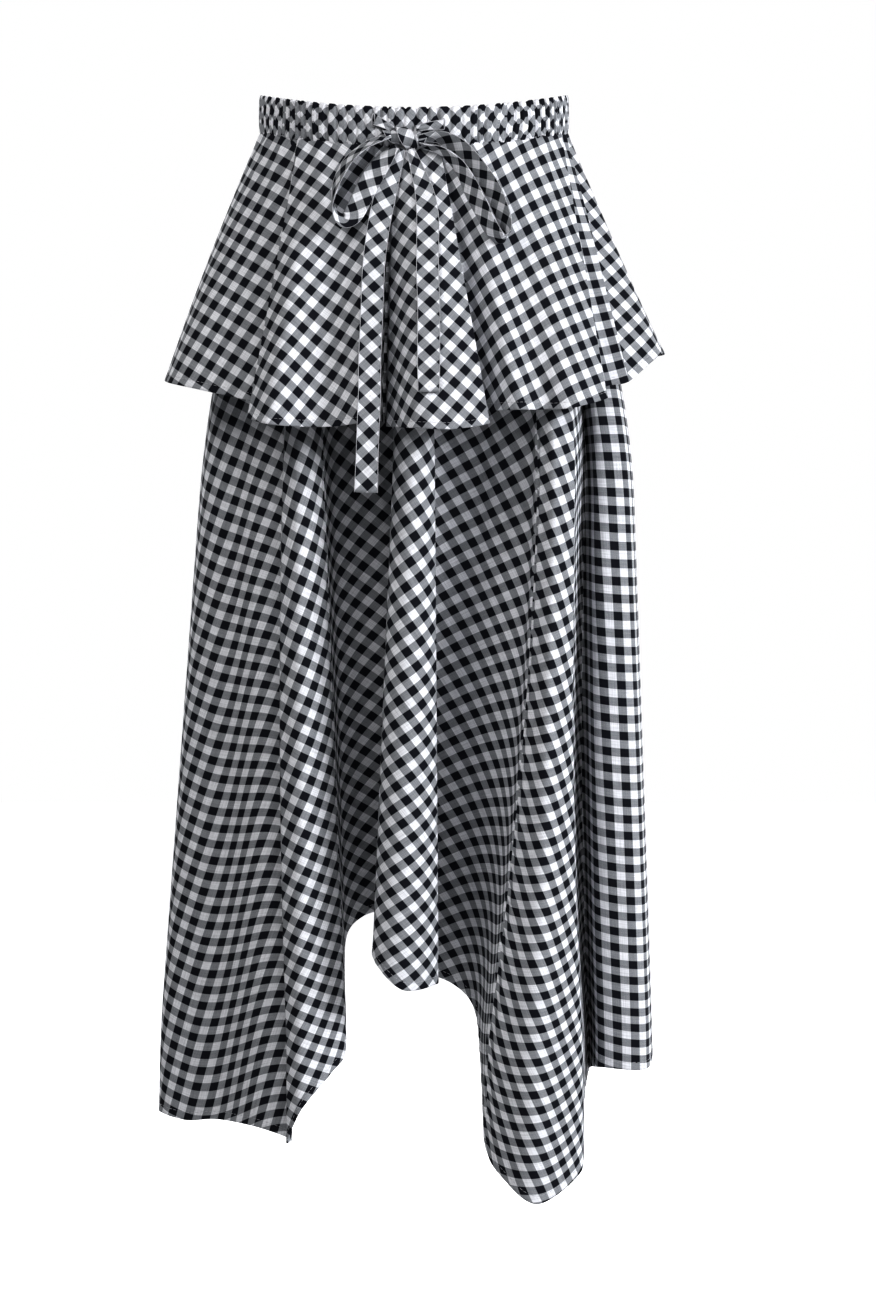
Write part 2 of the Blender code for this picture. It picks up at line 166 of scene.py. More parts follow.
PEPLUM_FOLDS = (
    ("side_left", -90, -228, 2, -231, -3, 1.0, 22, 20, 22, 20),
    ("left_a", -76, -221, -68, -240, -2, 0.9, 22, 20, 22, 20),
    ("left_b", -62, -184, -94, -250, 0, 1.0, 22, 22, 22, 19),
    ("tuck_1a", -48, -139, -106, -262, 0, 0.9, 26, 26, 24, 21),
    ("tuck_1b", -46, -146, -128, -276, 0, 0.5, 30, 32, 29, 25),
    ("broad_a", -39, -124, -153, -284, 0, 0.9, 32, 33, 31, 27),
    ("broad_m", -29, -79, -139, -285, 0, 1.0, 36, 33, 34, 31),
    ("broad_b", -17, -46, -158, -283, 0, 0.9, 42, 38, 39, 38),
    ("tuck_2a", -11, -33, -146, -281, 0, 0.8, 44, 40, 42, 42),
    ("tuck_2b", -8.4, -26, -119, -279, 0, 0.7, 45, 44, 45, 44),
    ("centre_a", -6.6, -22, -130, -284, 0, 0.6, 47, 47, 46, 45),
    ("centre_b", -2, 3, -168, -288, 0, 0.9, 47, 46, 46, 44),
    ("centre_c", 4.4, 36, -170, -289, 0, 1.0, 47, 45, 45, 43),
    ("tuck_3a", 9.4, 67, -155, -283, 0, 0.5, 46, 45, 45, 43),
    ("tuck_3b", 11, 64, -114, -270, 0, 0.8, 72, 73, 58, 66),
    ("right_a", 20, 92, -142, -270, 0, 1.0, 74, 74, 61, 66),
    ("right_m", 32, 115, -131, -269, 0, 1.0, 74, 75, 61, 65),
    ("right_b", 50, 141, -139, -268, 0, 1.0, 72, 76, 62, 65),
    ("tuck_4a", 71, 172, -117, -258, 0, 0.5, 72, 76, 63, 66),
    ("tuck_4b", 74, 173, -88, -245, 0, 0.8, 82, 84, 84, 80),
    ("strip", 81, 194, -80, -240, 0, 0.6, 86, 88, 88, 82),
    ("flap", 87, 224, -52, -213, 0, 0.7, 88, 90, 90, 88),
    ("side_right", 96, 231, 6, -208, -3, 1.0, 92, 92, 92, 92),
    ("back_1", 112, 215, 70, -206, 0, 1.0, 98, 98, 98, 98),
    ("back_2", 124, 176, 90, -210, 0, 1.0, 103, 103, 103, 103),
    ("back_3", 136, 146, 138, -216, 0, 1.0, 108, 108, 108, 108),
    ("back_4", 148, 104, 130, -222, 0, 1.0, 113, 113, 113, 113),
    ("back_5", 162, 64, 172, -226, 0, 1.0, 119, 119, 119, 119),
    ("back_6", 174, 18, 146, -229, 0, 1.0, 124, 124, 124, 124),
    ("back_7", 190, -32, 178, -230, 0, 1.0, 130, 130, 130, 130),
    ("back_8", 206, -84, 140, -228, 0, 1.0, 136, 136, 136, 136),
    ("back_9", 222, -130, 160, -226, 0, 1.0, 142, 142, 142, 142),
    ("back_10", 238, -172, 102, -226, 0, 1.0, 147, 147, 147, 147),
    ("back_11", 254, -214, 66, -228, 0, 1.0, 153, 153, 153, 153),
)
PEPLUM_STRETCHES = (
    ("side_left", "tuck_1a", "left_b", 0),
    ("tuck_1a", "tuck_2a", "broad_a", 0),
    ("tuck_2a", "tuck_2b", "tuck_2a", 0),
    ("tuck_2b", "tuck_3a", "centre_c", 0),
    ("tuck_3a", "tuck_4a", "right_a", 0),
    ("tuck_4a", "strip", "tuck_4b", 0),
    ("strip", "back_5", "flap", -26),
    ("back_5", "side_left", "back_8", -26),
)
PEPLUM_CREASES = (
    ("left_a", 0.5, 0.10, 1.3, 20, -90),
    ("left_b", 0.36, 0.10, 1.6, 20, -120),
    ("left_b", 0.68, 0.22, -2.6, 10, -180),
    ("tuck_1b", 0.0, 0.10, 0.9, 0, -285),
    ("broad_b", 0.45, 0.12, 1.1, -40, -285),
    ("tuck_2b", 0.0, 0.35, -5.0, -42, -120),
    ("tuck_2b", 0.1, 0.25, -2.5, -120, -285),
    ("tuck_3b", 0.0, 0.40, -2.5, -45, -200),
    ("centre_a", 0.0, 0.14, 1.0, 0, -290),
    ("centre_c", 0.2, 0.09, 1.0, 0, -150),
    ("tuck_3a", -0.04, 0.08, 1.2, 0, -290),
    ("right_a", 0.3, 0.07, 1.5, 0, -90),
    ("right_a", 0.65, 0.07, 1.3, 0, -70),
    ("right_b", 0.25, 0.07, 1.3, 10, -110),
    ("tuck_4a", 0.0, 0.10, 1.2, 10, -270),
    ("strip", 0.0, 0.14, 0.9, -60, -250),
    ("back_2", 0.4, 0.10, 1.2, 20, -120),
    ("back_3", 0.0, 0.07, 1.2, 20, -220),
    ("back_5", -0.1, 0.07, 1.2, 20, -230),
    ("back_6", 0.4, 0.10, 1.1, 20, -100),
    ("back_7", 0.1, 0.07, 1.2, 20, -230),
    ("back_9", -0.1, 0.07, 1.2, 20, -230),
    ("back_10", 0.4, 0.10, 1.3, 20, -110),
)

# ---- the bow ---------------------------------------------------------------------------
# x, z, lean of the strap (degrees its near edge turns to the left of its course),
# half width
LOOP_LEFT = (
    (-20, -22, 30, 3.5), (-36, -28, 28, 7.5), (-50, -37, 27, 10), (-61, -49, 27, 10),
    (-68, -64, 24, 10), (-71, -78, 10, 10), (-69, -91, -15, 10), (-61, -99, -45, 10),
    (-53, -93, -65, 10), (-46, -79, -72, 10), (-40, -66, -72, 10), (-33, -54, -70, 10),
    (-25, -43, -60, 8.5), (-15.5, -32, -50, 4.5),
)
LOOP_RIGHT = (
    (5.0, -24, 35, 3.5), (23, -23, 42, 7.0), (38, -31, 48, 10), (51, -43, 48, 10),
    (62, -57, 48, 10), (71, -71, 48, 10), (77, -85, 46, 10), (82, -99, 36, 10),
    (84, -110, 12, 10), (79, -116, -18, 10), (70, -107, -36, 10), (63, -93, -42, 10),
    (57, -81, -42, 10), (51, -69, -42, 10), (45, -56, -40, 9), (36, -44, -36, 7.5),
    (23, -35, -30, 6.0), (5.0, -29.5, -24, 3.5),
)
# x, z, half width: the two ends, then the strap between each buttonhole and the knot
TAIL_LEFT = (
    (-11.5, -33.0, 4.5), (-19, -56, 8.0), (-27, -85, 10), (-32, -114, 10), (-35, -143, 10),
    (-36, -172, 10), (-37, -200, 10), (-38, -228, 10), (-38, -256, 10), (-39, -284, 10),
    (-40, -314, 10), (-41, -344, 10.5),
)
TAIL_RIGHT = (
    (-2.6, -33.5, 3.8), (3.5, -52, 6.0), (10, -73, 8.5), (13, -96, 10), (13, -122, 10),
    (13, -150, 10), (14, -178, 10), (14, -206, 10), (14, -232, 10), (14, -256, 9.5),
)
LEAD_LEFT = ((-34, -7, 4.5), (-26, -11, 3.5), (-18, -15.5, 2.5))
LEAD_RIGHT = ((27, -11, 4.5), (15, -12.5, 3.5), (2.5, -15, 2.5))
KNOT_AT = (-7.0, -24.0)
HANG_Z = -290.0                       # below this the left strap end hangs free
# name, x and z of the middle, how far it stands out, half height, slant (half of the x
# gained from top to bottom), half width
KNOT_WRAPS = (
    ("tie_knot", -5.5, -23.5, 9.5, 9.2, 5.0, 7.0),
    ("tie_knot_left", -18.0, -22.5, 6.2, 6.0, 6.0, 5.2),
    ("tie_knot_right", 5.0, -26.0, 6.5, 7.0, -5.0, 5.5),
)
WRAP_TURN = 110                       # degrees a wrap goes round from its front, each way
# name, x, lower and upper end
BUTTONHOLES = (("buttonhole_left", -35.8, -12.8, -1.0), ("buttonhole_right", 26.8, -15.4, -5.2))

# ---- camera, light and floor, in metres ------------------------------------------------
CAMERA_AT = (0.0222, -3.0, -0.488)    # level with the middle of the skirt
CAMERA_LENS = 88.77
AMBIENT = 0.070                       # light from all round
AMBIENT_TINT = (0.84, 0.91, 1.0, 1)   # slightly blue, as daylight from a window
WHITE = (1, 1, 1, 1)
GAMMA = 0.66                          # deeper shade between the folds
FLOOR_Z, FLOOR_HALF = -1.3, 15        # its height and half width
# name, place, the height it aims at, size, power, colour
SOFTBOXES = (
    ("left", (-1.2, -1.5, 1.4), -0.3, 1.2, 30, (1.0, 0.99, 0.97)),
    ("right", (3.5, -2.2, 0.7), -0.5, 1.4, 152, (0.97, 0.985, 1.0)),
    ("back_left", (-2.6, 3.0, 0.7), -0.5, 1.4, 84, (1.0, 1.0, 1.0)),
    ("back_right", (2.8, 2.8, 0.7), -0.5, 1.4, 108, (1.0, 1.0, 1.0)),
    ("front", (0.6, -2.6, 1.4), -0.3, 1.2, 21, (1.0, 1.0, 1.0)),
)


# ---- forms of the solids ---------------------------------------------------------------
def index(folds, name):
    """Number of a fold line in its table."""
    return [row[0] for row in folds].index(name)


def seam_z(angle):
    """Lower edge of the waistband: dips at the front, rises at the sides and back."""
    c = np.cos(np.radians(angle))
    return 8.0 - 15.0 * c - 6.0 * (2 * c * c - 1) - BAND_HALF


def ring(values, rounds, s):
    """Closed cubic through the rows of a table, its slopes scaled by the roundness.

    The first column is an angle that gains a full turn on the way round.
    """
    n = len(values)
    i = np.floor(s).astype(int) % n
    f = (s - np.floor(s))[:, None]
    after, before = np.roll(values, -1, 0), np.roll(values, 1, 0)
    after[-1, 0] += 360
    before[0, 0] -= 360
    slope = 0.5 * (after - before) * rounds[:, None]
    a, b, u, v = values[i], after[i], slope[i], slope[(i + 1) % n]
    return ((2 * f**3 - 3 * f**2 + 1) * a + (f**3 - 2 * f**2 + f) * u
            + (3 * f**2 - 2 * f**3) * b + (f**3 - f**2) * v)


def ramp(x, w):
    """0 below -w, x above w, a parabola between."""
    return np.where(x < -w, 0.0, np.where(x > w, x, (x + w) ** 2 / (4 * w)))


def waist_point(angle, grow):
    """Point of the waist's ellipse, grown outwards."""
    a = np.radians(angle)
    return np.column_stack([(WAIST_X + grow) * np.sin(a), -(WAIST_Y + grow) * np.cos(a)])


def skirt_net(s, upper, lower):
    """Long skirt at fold positions s.

    Rows run in equal shares from the seam to the hip, in equal shares on to just above
    the hem, and closely over the hem.  A point goes straight from the waist's ellipse to
    the hip ring, and bends there towards the low ring.
    """
    t = np.array([row[1:] for row in SKIRT_FOLDS], float)
    angle, hx, hy, lx, ly, bow, hem = ring(t[:, [0, 1, 2, 3, 4, 5, 7]], t[:, 6], s).T
    tx, ty = waist_point(angle, SKIRT_OUT).T
    top = seam_z(angle) + SEWN_IN
    k, m = np.arange(upper)[:, None] / upper, np.arange(lower)[:, None] / lower
    e = np.linspace(1, 0, HEM_ROWS)[:, None] * HEM_ZONE
    z = np.vstack([top + (HIP_Z - top) * k, HIP_Z + (hem + HEM_ZONE - HIP_Z) * m, hem + e])
    below = ramp(HIP_Z - z, HIP_SOFT)
    g1 = (top - z - below) / (top - HIP_Z)
    g2 = below / (HIP_Z - LOW_Z)
    g2 = g2 - HELD_BACK * ramp(g2 - 1.0, 0.05)
    c = np.clip(g2, 0, 1)
    x = tx + (hx - tx) * g1 + (lx - hx) * g2 + bow * 4 * c * (1 - c)
    y = ty + (hy - ty) * g1 + (ly - hy) * g2
    return np.stack([x, y, z], -1), angle


def peplum_net(s, rows):
    """Overskirt at fold positions s: straight fall lines with a sideways bow."""
    p = np.array([row[1:] for row in PEPLUM_FOLDS], float)
    angle, hx, hy, hz, bow = ring(p[:, 0:5], p[:, 5], s).T
    tx, ty = waist_point(angle, PEPLUM_OUT).T
    top = seam_z(angle) + SEWN_IN
    zone = HEM_ZONE / PEPLUM_LONG
    t = np.concatenate([np.arange(rows) / rows * (1 - zone),
                        1 - zone * np.linspace(1, 0, HEM_ROWS)])[:, None]
    return np.stack([tx + (hx - tx) * t + bow * 4 * t * (1 - t), ty + (hy - ty) * t,
                     top + (hz - top) * t], -1), angle


# the front of the overskirt, for what lies on it: one row of points a fall line
FRONT_NET = peplum_net(np.linspace(1, index(PEPLUM_FOLDS, "strip"), 321), 40)[0]
FRONT_NET = FRONT_NET.transpose(1, 0, 2)


def front_y(x, z, half):
    """Nearest the viewer that the overskirt or the band comes within half of x, at z."""
    near = 1e9
    for dx in np.linspace(-half, half, 5):
        d = (FRONT_NET[..., 0] - x - dx) ** 2 + (FRONT_NET[..., 2] - z) ** 2
        near = min(near, FRONT_NET[..., 1].reshape(-1)[np.argmin(d)])
    if z > seam_z(0.0) - 6:
        reach = WAIST_Y + BAND_WALL / 2
        near = min(near, -reach * math.sqrt(1 - (x / WAIST_X) ** 2) - 0.6)
    return near


# ---- nets ------------------------------------------------------------------------------
def unit(v):
    """Directions of length 1."""
    return v / np.maximum(np.linalg.norm(v, axis=-1, keepdims=True), 1e-9)


def normals(net):
    """Outward directions: the way down a column crossed with the way round a row."""
    return unit(np.cross(np.gradient(net, axis=0), np.gradient(net, axis=1)))


def length_along(points):
    """Running length of a line of points."""
    step = np.linalg.norm(np.diff(points, axis=0), axis=1)
    return np.concatenate([[0], np.cumsum(step)])


def unroll(net, fall, lean, stretches, level, drawn=1.0):
    """Places in the flat cloth of each net column's left and right side.

    A step round a row is split into its part down the fall line and its part across.
    Across, the flat place moves by the cosine of the lean and the sine of the fall; down,
    by the sine of the lean and the cosine of the fall.  A stretch of cloth hangs from its
    own square fall line, and the stretches meet in one line at the given row.  Drawn is
    how much flat cloth goes into a length down the fall line.
    """
    drawn = drawn + 0 * net[..., 0]
    down_way = unit(np.gradient(net, axis=0))
    step, down_way = np.diff(net, axis=1), unit(down_way[:, :-1] + down_way[:, 1:])
    down = (step * down_way).sum(-1)
    across = np.sqrt(np.maximum((step**2).sum(-1) - down**2, 0))
    down = down * drawn[:, :-1]
    sides = np.zeros((net.shape[0], net.shape[1] - 1, 2, 2))
    met = np.zeros(2)
    for first, last, square, turn in stretches:
        f, n = np.radians(fall + turn), np.radians(lean + turn)
        hang = np.stack([np.sin(n), -np.cos(f)], -1)
        f, n = (f[:, :-1] + f[:, 1:]) / 2, (n[:, :-1] + n[:, 1:]) / 2
        walk = across[..., None] * np.stack([np.cos(n), np.sin(f)], -1)
        walk = walk + down[..., None] * np.stack([np.sin(n), -np.cos(f)], -1)
        walk = np.pad(np.cumsum(walk, axis=1), ((0, 0), (1, 0), (0, 0)))
        fallen = np.diff(length_along(net[:, square]), prepend=0)[:, None]
        line = np.cumsum(fallen * drawn[:, square][:, None] * hang[:, square], axis=0)
        flat = line[:, None] + walk - walk[:, square][:, None]
        flat = flat - flat[level, first] + met
        met = flat[level, last]
        sides[:, first:last, 0], sides[:, first:last, 1] = (flat[:, first:last],
                                                            flat[:, first + 1:last + 1])
    return sides


def check_angles(folds, s, share):
    """Fall of the rows and lean of the columns at fold positions s, straight between two
    fold lines and between the two levels; share is 0 at the upper level, 1 at the lower."""
    table = np.array([row[-4:] for row in folds], float)
    table = np.vstack([table, 2 * table[-1] - table[-2]])
    top_fall, low_fall, top_lean, low_lean = (np.interp(s, np.arange(len(table)), column)
                                              for column in table.T)
    return (top_fall + (low_fall - top_fall) * share, top_lean + (low_lean - top_lean) * share)


# ---- pieces ----------------------------------------------------------------------------
def make(name, points, faces, uv, mat):
    """A mesh object from arrays, with one flat-cloth place for each face corner."""
    mesh = bpy.data.meshes.new(name)
    mesh.from_pydata((points * MM).tolist(), [], faces.tolist())
    layer = mesh.uv_layers.new(name="cloth")
    layer.data.foreach_set("uv", (np.asarray(uv) * MM).astype(np.float32).ravel())
    mesh.materials.append(mat)
    mesh.shade_smooth()
    ob = bpy.data.objects.new(name, mesh)
    bpy.context.scene.collection.objects.link(ob)
    return ob


def quads(rows, cols):
    """Outward faces of an open net: down, right, up."""
    r, c = np.meshgrid(np.arange(rows - 1), np.arange(cols - 1), indexing="ij")
    a = (r * cols + c).ravel()
    return np.column_stack([a, a + cols, a + cols + 1, a + 1])


def panel(name, net, sides, mat):
    """A panel of cloth: the net, thickened to one layer."""
    rows, cols = net.shape[:2]
    uv = np.stack([sides[:-1, :, 0], sides[1:, :, 0], sides[1:, :, 1], sides[:-1, :, 1]], 2)
    ob = make(name, net.reshape(-1, 3), quads(rows, cols), uv, mat)
    wall = ob.modifiers.new("layer", "SOLIDIFY")
    wall.thickness = CLOTH * MM
    wall.offset = 0.0
    wall.use_even_offset = False
    return ob


def hem_relief(net, seed):
    """Height of a turned hem: the doubled edge stands out, its stitching pulls a groove and
    ripples the cloth beside it."""
    up = np.linalg.norm(net - net[-1], axis=-1)
    along = length_along(net[-1])
    double = HEM_RISE / (1 + np.exp((up - HEM) / 0.5))
    groove = -HEM_RISE * np.exp(-((up - STITCH_UP) / 1.0) ** 2)
    wave = np.sin(along / 2.1 + 1.7 * np.sin(along / 31 + seed) + seed)
    wave = wave * (0.5 + 0.5 * np.sin(along / 47 + 2 * seed))
    return double + groove + 0.35 * wave * np.exp(-((up - 5) / 9) ** 2)


def gather_relief(angle, down, deep, reach):
    """Small uneven pleats under the waistband, dying out down the cloth."""
    a = np.radians(angle)
    wave = (np.sin(47 * a + 1.5 * np.sin(5 * a)) * (0.6 + 0.4 * np.sin(9 * a + 1))
            + 0.5 * np.sin(29 * a + 2 * np.sin(3 * a + 2)))
    return deep * wave * np.exp(-down / reach) * (1 - np.exp(-down / 3.0))


def crease_relief(folds, creases, s, z):
    """Height of the fine creases: each a bell curve across its line, fading at its ends."""
    high = 0.0
    for name, beside, half, rise, top, bottom in creases:
        bell = np.exp(-((s - index(folds, name) - beside) / half) ** 2)
        faded = 1 / ((1 + np.exp((z - top) / 12)) * (1 + np.exp((bottom - z) / 12)))
        high = high + rise * bell * faded
    return high


# ---- materials -------------------------------------------------------------------------
class Nodes:
    """Short calls for a material's node tree.

    Inputs go by number.  Noise: 0 place, 2 scale, 3 detail.  Mapping: 0 place, 3 scale.
    Map range: 0 value, 1 and 2 from, 3 and 4 to.  Mix: 0 share, 6 and 7 the colours.
    Bump: 0 strength, 1 distance.
    """

    def __init__(self, name):
        """A new material and its main shader."""
        self.mat = bpy.data.materials.new(name)
        self.mat.use_nodes = True
        self.tree = self.mat.node_tree
        self.shader = self.tree.nodes["Principled BSDF"]

    def add(self, kind, inputs=(), **settings):
        """A node with its settings; each input is linked to a socket or set to a value."""
        node = self.tree.nodes.new(kind)
        for key, value in settings.items():
            setattr(node, key, value)
        for socket, value in dict(inputs).items():
            if isinstance(value, bpy.types.NodeSocket):
                self.tree.links.new(value, node.inputs[socket])
            else:
                node.inputs[socket].default_value = value
        return node

    def math(self, operation, a, b=0.0, c=0.0):
        """The result of one operation on up to three values."""
        return self.add("ShaderNodeMath", {0: a, 1: b, 2: c}, operation=operation).outputs[0]

    def mix(self, share, a, b, blend="MIX"):
        """Colour a blended into colour b by a share."""
        node = self.add("ShaderNodeMix", {0: share, 6: a, 7: b}, data_type="RGBA",
                        blend_type=blend)
        return node.outputs[2]


def stripe(n, place):
    """1 in the dark half of each repeat and 0 in the light half, with a soft edge."""
    fold = n.math("PINGPONG", place, REPEAT / 2 * MM)
    edge = REPEAT / 4 * MM
    return n.add("ShaderNodeMapRange", {0: fold, 1: edge - 0.2 * MM, 2: edge + 0.2 * MM,
                                        3: 1.0, 4: 0.0}).outputs[0]


def gingham(name, white=(0.80, 0.80, 0.83), grey=(0.335, 0.343, 0.363),
            black=(0.020, 0.021, 0.029)):
    """Woven checks in the flat cloth's own places.

    Dark stripes run both ways; where two cross the cloth is black, where one runs over
    light it is grey.  The weave is a product of two fine waves: in the grey it shows as
    dark and light threads, and everywhere as relief.  Uneven threads are noise drawn out
    along each thread.
    """
    n = Nodes(name)
    place = n.add("ShaderNodeUVMap", uv_map="cloth").outputs[0]
    split = n.add("ShaderNodeSeparateXYZ", {0: place}).outputs
    across, along = stripe(n, split[0]), stripe(n, split[1])
    turn = 2 * math.pi / (THREAD * MM)
    wave_u = n.math("SINE", n.math("MULTIPLY", split[0], turn))
    wave_v = n.math("SINE", n.math("MULTIPLY", split[1], turn))
    weave = n.math("MULTIPLY", wave_u, wave_v)
    threads = []
    fine, coarse = 1 / (SLUB_WIDE * MM), 1 / (SLUB_LONG * MM)
    for scale in ((fine, coarse, 1), (coarse, fine, 1)):
        drawn = n.add("ShaderNodeMapping", {0: place, 3: scale}).outputs[0]
        threads.append(n.add("ShaderNodeTexNoise", {0: drawn, 2: 1.0, 3: 1.0}).outputs[0])
    slub = n.math("SUBTRACT", n.math("ADD", threads[0], threads[1]), 1.0)
    blot = n.add("ShaderNodeTexNoise", {0: place, 2: 18.0, 3: 2.0}).outputs[0]
    one = n.math("MAXIMUM", across, along)
    both = n.math("MULTIPLY", across, along)
    only_one = n.math("SUBTRACT", one, both)
    tone = n.math("MULTIPLY_ADD", slub, 0.45, 1.0)
    tone = n.math("MULTIPLY_ADD", n.math("MULTIPLY", only_one, weave), 0.30, tone)
    tone = n.math("MULTIPLY_ADD", n.math("SUBTRACT", blot, 0.5), 0.10, tone)
    colour = n.mix(both, n.mix(one, (*white, 1), (*grey, 1)), (*black, 1))
    shade = n.add("ShaderNodeCombineXYZ", {0: tone, 1: tone, 2: tone}).outputs[0]
    colour = n.mix(1.0, colour, shade, "MULTIPLY")
    fuzz = n.add("ShaderNodeTexNoise", {0: place, 2: 140.0, 3: 3.0}).outputs[0]
    height = n.math("MULTIPLY_ADD", weave, 0.5, n.math("MULTIPLY_ADD", slub, 1.0,
                                                     n.math("MULTIPLY", fuzz, 2.2)))
    bump = n.add("ShaderNodeBump", {0: 0.35, 1: 0.00012, "Height": height}).outputs[0]
    s = n.shader.inputs
    n.tree.links.new(colour, s["Base Color"])
    n.tree.links.new(bump, s["Normal"])
    rough = n.math("MULTIPLY_ADD", slub, 0.15, 0.86)
    n.tree.links.new(rough, s["Roughness"])
    s["Specular IOR Level"].default_value = 0.10
    s["Sheen Weight"].default_value = 0.04
    s["Sheen Roughness"].default_value = 0.45
    return n.mat


def plain(name, colour, roughness):
    """One colour with a fine unevenness."""
    n = Nodes(name)
    place = n.add("ShaderNodeTexCoord").outputs["Object"]
    speck = n.add("ShaderNodeTexNoise", {0: place, 2: 900.0, 3: 2.0}).outputs[0]
    dark = tuple(0.78 * c for c in colour)
    n.tree.links.new(n.mix(speck, (*dark, 1), (*colour, 1)), n.shader.inputs["Base Color"])
    n.shader.inputs["Roughness"].default_value = roughness
    return n.mat


# ---- the garment -----------------------------------------------------------------------
def dress(ob, nodes):
    """A piece rides on the one body and stands for its solids."""
    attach(ob, "root")
    if nodes:
        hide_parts(*nodes)
    return ob


def columns(folds, stretches, first, last, per):
    """Fold positions from first to last, per columns to each fold line, and the stretches
    between them with their fold lines as column numbers."""
    s = np.linspace(first, last, (last - first) * per + 1)
    out = []
    for a, b, square, turn in stretches:
        a, b, q = (index(folds, k) for k in (a, b, square))
        b = len(folds) if b == 0 else b
        if a >= first and b <= last:
            out.append([(k - first) * per for k in (a, b, q)] + [turn])
    return s, out


def skirt_panel(name, first, last, per, mat):
    """Front or back of the long skirt, between two fold lines, and its net.

    The hem, the gathers and the fine creases are heights added along the net's normals.
    """
    s, stretches = columns(SKIRT_FOLDS, SKIRT_STRETCHES, first, last, per)
    net, angle = skirt_net(s, UPPER_ROWS, LOWER_ROWS)
    share = np.clip((HIP_Z - net[..., 2]) / (HIP_Z - LOW_Z), 0, 1.2)
    drawn = SLACK_HIP + (SLACK_LOW - SLACK_HIP) * share
    fall, lean = check_angles(SKIRT_FOLDS, s, share)
    sides = unroll(net, fall, lean, stretches, SKIRT_MEETS, drawn)
    down = np.linalg.norm(net - net[0], axis=-1)
    high = hem_relief(net, 1.0) + gather_relief(angle, down, 0.9, 40.0)
    high = high + crease_relief(SKIRT_FOLDS, SKIRT_CREASES, s, net[..., 2])
    net = net + normals(net) * high[..., None]
    return dress(panel(name, net, sides, mat), [name]), net


def peplum_panel(name, first, last, per, mat):
    """Front or back of the overskirt, made as the long skirt's panels are."""
    s, stretches = columns(PEPLUM_FOLDS, PEPLUM_STRETCHES, first, last, per)
    net, angle = peplum_net(s, PEPLUM_ROWS)
    share = (net[0, :, 2] - net[..., 2]) / (net[0, :, 2] - net[-1, :, 2])
    fall, lean = check_angles(PEPLUM_FOLDS, s, share)
    sides = unroll(net, fall, lean, stretches, PEPLUM_MEETS)
    down = np.linalg.norm(net - net[0], axis=-1)
    high = hem_relief(net, 2.0) + gather_relief(angle, down, 1.4, 26.0)
    high = high + crease_relief(PEPLUM_FOLDS, PEPLUM_CREASES, s, net[..., 2])
    net = net + normals(net) * high[..., None]
    return dress(panel(name, net, sides, mat), [name]), net


def stitches(name, net, mat):
    """Running stitches along a hem: each a thin spindle on the cloth, laid out by arrays."""
    up = np.linalg.norm(net - net[-1], axis=-1)
    row = np.argmin(np.abs(up - STITCH_UP), axis=0)
    line = net[row, np.arange(net.shape[1])] + normals(net)[-4] * (CLOTH / 2 + 0.05)
    run = length_along(line)
    out = normals(net)[-4]
    start = np.arange(2.0, run[-1] - STITCH_LONG - 2.0, STITCH_PITCH)
    t = np.linspace(0, 1, 5)
    at = start[:, None] + t * STITCH_LONG
    mid = np.stack([np.interp(at, run, line[:, k]) for k in range(3)], -1)
    nor = unit(np.stack([np.interp(at, run, out[:, k]) for k in range(3)], -1))
    tangent = unit(np.gradient(mid, axis=1))
    side = unit(np.cross(nor, tangent))
    rise = (np.sin(math.pi * t) ** 0.6 * STITCH_THICK * 0.35)[None, :, None]
    fat = (np.sin(math.pi * np.clip(t, 0.06, 0.94)) ** 0.4 * STITCH_THICK / 2)[None, :, None]
    mid = mid + nor * rise
    rings = np.stack([mid + side * fat, mid + nor * fat, mid - side * fat, mid - nor * fat], 2)
    count, k = len(start), np.arange(4)
    near = (np.arange(4)[:, None] * 4 + k).ravel()
    right = (np.arange(4)[:, None] * 4 + (k + 1) % 4).ravel()
    one = np.column_stack([near, near + 4, right + 4, right])
    one = np.vstack([one, [[0, 1, 2, 3], [19, 18, 17, 16]]])
    faces = (np.arange(count)[:, None, None] * 20 + one).reshape(-1, 4)
    ob = make(name, rings.reshape(-1, 3), faces, np.zeros((len(faces), 4, 2)), mat)
    return dress(ob, [])


def sweep(name, rings, uv, mat, closed=False):
    """A profile carried along a path: rings[k, j] is point j of the profile at station k.

    Station and profile step make each face; the shape is turned right side out by the sign
    of its volume.  An open sweep gets flat ends.
    """
    n, m = rings.shape[:2]
    k, j = np.meshgrid(np.arange(n if closed else n - 1), np.arange(m), indexing="ij")
    corner = [(k, j), (k + 1, j), (k + 1, j + 1), (k, j + 1)]
    faces = np.stack([(p % n * m + q % m) for p, q in corner], -1).reshape(-1, 4)
    flat = np.stack([uv[p, q] for p, q in corner], 2).reshape(-1, 4, 2)
    points = rings.reshape(-1, 3)
    a, b, c, d = (points[faces[:, i]] for i in range(4))
    volume = (np.einsum("ij,ij->i", a, np.cross(b, c))
              + np.einsum("ij,ij->i", a, np.cross(c, d))).sum()
    if volume < 0:
        faces, flat = faces[:, ::-1], flat[:, ::-1]
    ob = make(name, points, faces, flat, mat)
    if not closed:
        bm = bmesh.new()
        bm.from_mesh(ob.data)
        bmesh.ops.holes_fill(bm, edges=[e for e in bm.edges if e.is_boundary])
        bm.to_mesh(ob.data)
        bm.free()
    return ob


def bias(u, v):
    """Flat places turned to 45 degrees, as cloth cut on the cross."""
    return np.stack([u + v, v - u], -1) * math.sqrt(0.5)


